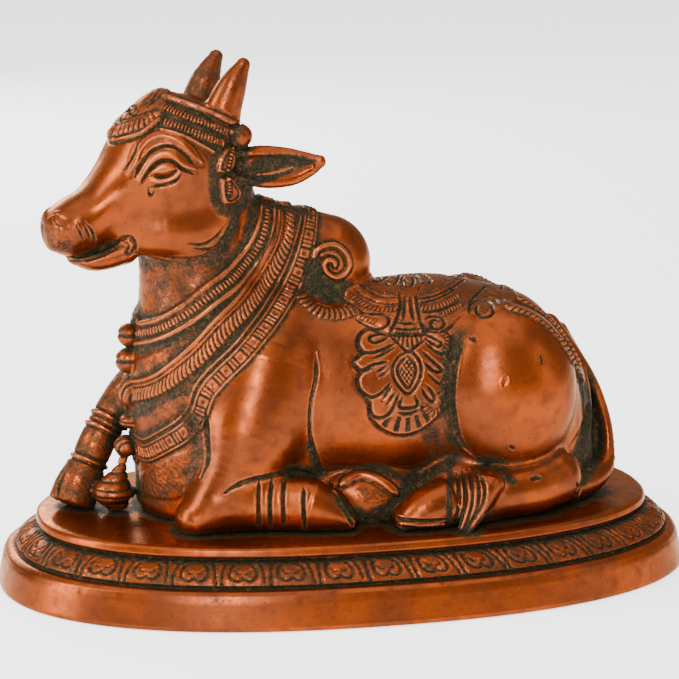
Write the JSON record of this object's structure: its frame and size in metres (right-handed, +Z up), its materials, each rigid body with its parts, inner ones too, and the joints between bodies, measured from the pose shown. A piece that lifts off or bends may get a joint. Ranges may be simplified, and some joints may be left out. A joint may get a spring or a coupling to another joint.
{
  "type": "nandi bull figure",
  "caption": "Cast metal Nandi, a seated bull with garlands, headstall and back cloth, on the stepped oval plinth it is cast with.",
  "frame": {"origin": "middle of the plinth's flat underside", "axes": "+Z up; the bull looks along -X; the planted foreleg is on the +Y side and the folded one on the -Y side"},
  "size_m": [0.256, 0.155, 0.1911],
  "materials": {
    "lacquered_brass": "copper-brown lacquer rubbed bright on the high places, with a green-black patina left in the carving"
  },
  "bodies": {
    "root": {"nandi_and_plinth": "lacquered_brass"}
  },
  "joints": []
}
